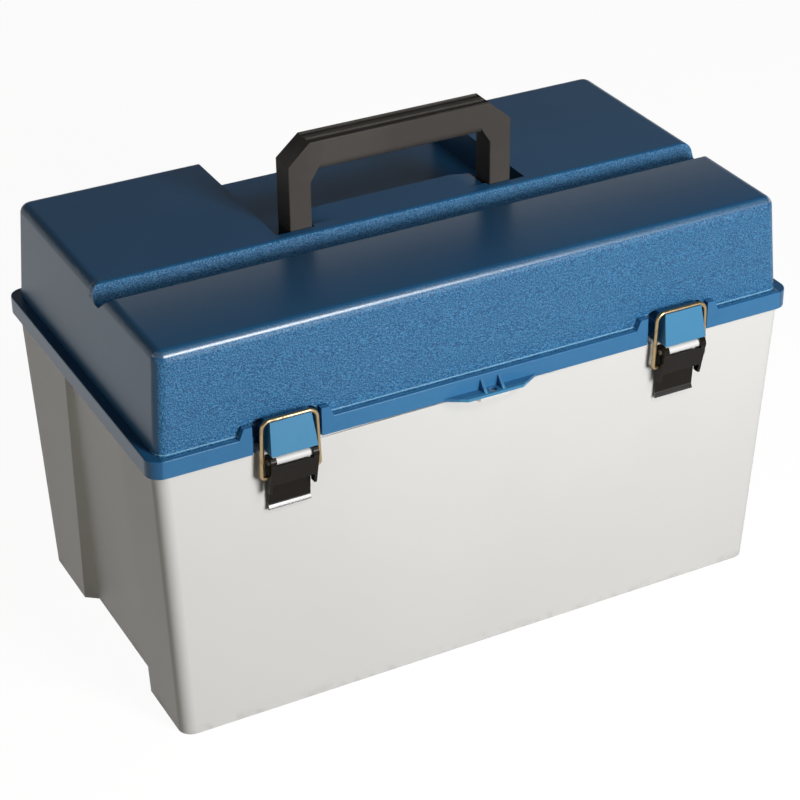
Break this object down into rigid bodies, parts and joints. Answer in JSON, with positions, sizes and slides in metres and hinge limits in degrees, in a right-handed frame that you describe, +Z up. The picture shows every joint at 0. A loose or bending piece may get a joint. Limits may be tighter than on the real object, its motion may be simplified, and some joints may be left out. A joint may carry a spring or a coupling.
{
  "type": "fishing tackle cabinet",
  "caption": "Large tackle cabinet with a hinged lid, folding carry handle, wire bail latches and a lift-off front cover over coupled drawers.",
  "frame": {"origin": "middle of the footprint, on the ground", "axes": "+Z up, +X to the right along the width, the front with its latches looks along -Y"},
  "size_m": [0.581, 0.343, 0.429],
  "materials": {
    "body_shell": "smooth moulded off-white",
    "lid": "pebbled metallic blue with a smooth rim",
    "handle": "fine satin grain",
    "lever": "smooth dark brown",
    "bail": "bright drawn wire",
    "steel_pin": "bright drawn",
    "rack": "moulded",
    "drawer": "moulded blue",
    "divider": "moulded"
  },
  "bodies": {
    "base": {"base_shell": "body_shell", "rack_side_left": "rack", "rack_side_right": "rack", "rack_center": "rack", "bulk_bin": "rack", "hinge_pin_left": "steel_pin", "hinge_pin_right": "steel_pin"},
    "lid": {"lid_shell": "lid", "handle_pin_left": "steel_pin", "handle_pin_right": "steel_pin"},
    "handle": {"carry_handle": "handle"},
    "cover": {"front_cover": "body_shell", "latch_pins_left": "steel_pin", "latch_pins_right": "steel_pin"},
    "tray": {"lift_tray": "drawer", "lift_tray_dividers": "divider"},
    "drawer_lower_left": {"drawer_lower_left": "drawer", "drawer_lower_dividers_left": "divider"},
    "drawer_lower_right": {"drawer_lower_right": "drawer", "drawer_lower_dividers_right": "divider"},
    "drawer_middle_left": {"drawer_middle_left": "drawer", "drawer_middle_dividers_left": "divider"},
    "drawer_middle_right": {"drawer_middle_right": "drawer", "drawer_middle_dividers_right": "divider"},
    "drawer_upper_left": {"drawer_upper_left": "drawer", "drawer_upper_dividers_left": "divider"},
    "drawer_upper_right": {"drawer_upper_right": "drawer", "drawer_upper_dividers_right": "divider"},
    "lever_left": {"latch_lever_left": "lever"},
    "bail_left": {"latch_bail_left": "bail"},
    "lever_right": {"latch_lever_right": "lever"},
    "bail_right": {"latch_bail_right": "bail"}
  },
  "joints": [
    {"name": "lid_hinge", "type": "hinge", "parent": "base", "child": "lid", "pos_m": [0, 0.1665, 0.262], "axis": [-1, 0, 0], "range_deg": [0, 105]},
    {"name": "handle_fold", "type": "hinge", "parent": "lid", "child": "handle", "pos_m": [0, 0.001, 0.343], "axis": [-1, 0, 0], "range_deg": [0, 90]},
    {"name": "cover_removal", "type": "slide", "parent": "base", "child": "cover", "axis": [0, -1, 0], "range_m": [0, 0.42]},
    {"name": "tray_lift", "type": "slide", "parent": "base", "child": "tray", "axis": [0, 0, 1], "range_m": [0, 0.055]},
    {"name": "drawer_lower_left_slide", "type": "slide", "parent": "base", "child": "drawer_lower_left", "axis": [0, -1, 0], "range_m": [0, 0.19]},
    {"name": "drawer_lower_right_slide", "type": "slide", "parent": "base", "child": "drawer_lower_right", "axis": [0, -1, 0], "range_m": [0, 0.19]},
    {"name": "drawer_middle_left_slide", "type": "slide", "parent": "base", "child": "drawer_middle_left", "axis": [0, -1, 0], "range_m": [0, 0.13]},
    {"name": "drawer_middle_right_slide", "type": "slide", "parent": "base", "child": "drawer_middle_right", "axis": [0, -1, 0], "range_m": [0, 0.13]},
    {"name": "drawer_upper_left_slide", "type": "slide", "parent": "base", "child": "drawer_upper_left", "axis": [0, -1, 0], "range_m": [0, 0.07]},
    {"name": "drawer_upper_right_slide", "type": "slide", "parent": "base", "child": "drawer_upper_right", "axis": [0, -1, 0], "range_m": [0, 0.07]},
    {"name": "lever_left_pivot", "type": "hinge", "parent": "cover", "child": "lever_left", "pos_m": [-0.1774, -0.165, 0.2503], "axis": [-1, 0, 0], "range_deg": [0, 110]},
    {"name": "bail_left_pivot", "type": "hinge", "parent": "lever_left", "child": "bail_left", "pos_m": [-0.1774, -0.1616, 0.2346], "axis": [1, 0, 0], "range_deg": [0, 110]},
    {"name": "lever_right_pivot", "type": "hinge", "parent": "cover", "child": "lever_right", "pos_m": [0.1774, -0.165, 0.2503], "axis": [-1, 0, 0], "range_deg": [0, 110]},
    {"name": "bail_right_pivot", "type": "hinge", "parent": "lever_right", "child": "bail_right", "pos_m": [0.1774, -0.1616, 0.2346], "axis": [1, 0, 0], "range_deg": [0, 110]}
  ],
  "couplings": [
    {"joint": "drawer_lower_left_slide", "follows": "cover_removal", "ratio": 0.4523},
    {"joint": "drawer_lower_right_slide", "follows": "cover_removal", "ratio": 0.4523},
    {"joint": "drawer_middle_left_slide", "follows": "cover_removal", "ratio": 0.3095},
    {"joint": "drawer_middle_right_slide", "follows": "cover_removal", "ratio": 0.3095},
    {"joint": "drawer_upper_left_slide", "follows": "cover_removal", "ratio": 0.1666},
    {"joint": "drawer_upper_right_slide", "follows": "cover_removal", "ratio": 0.1666},
    {"joint": "bail_left_pivot", "follows": "lever_left_pivot", "ratio": 1},
    {"joint": "bail_right_pivot", "follows": "lever_right_pivot", "ratio": 1}
  ]
}
